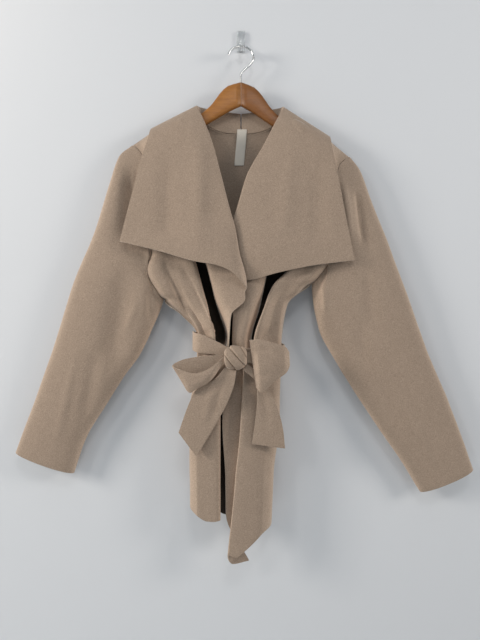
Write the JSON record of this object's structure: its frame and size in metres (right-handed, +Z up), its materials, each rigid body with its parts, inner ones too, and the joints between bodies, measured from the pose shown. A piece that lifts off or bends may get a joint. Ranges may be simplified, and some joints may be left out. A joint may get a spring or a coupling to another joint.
{
  "type": "belted jacket on a hanger and wall hook",
  "caption": "Open waterfall jacket with wide lapels and a tied belt, hung on a wooden hanger from a small wall hook; cloth walls are rigid and hollow.",
  "frame": {"origin": "middle of the wall hook's plate, on the wall", "axes": "+Y out of the back of the plate into the wall, +Z up, +X to the wearer's left"},
  "size_m": [0.9438, 0.1273, 1.0933],
  "materials": {
    "taupe_cloth": "matte double-faced knit, warm taupe",
    "label_tape": "satin woven tape, off-white, blank",
    "varnished_wood": "satin varnish over beech, orange-brown",
    "chrome_wire": "bright plated wire",
    "clear_plastic": "clear moulded plastic"
  },
  "bodies": {
    "root": {"back": "taupe_cloth", "front_right": "taupe_cloth", "front_left": "taupe_cloth", "sleeve_right": "taupe_cloth", "sleeve_left": "taupe_cloth", "belt": "taupe_cloth", "bow_knot": "taupe_cloth", "bow_loop_right": "taupe_cloth", "bow_loop_left": "taupe_cloth", "belt_tail_right": "taupe_cloth", "belt_tail_left": "taupe_cloth", "neck_label": "label_tape", "hanger_arm_right": "varnished_wood", "hanger_arm_left": "varnished_wood", "hanger_hook": "chrome_wire", "wall_hook": "clear_plastic"}
  },
  "joints": []
}
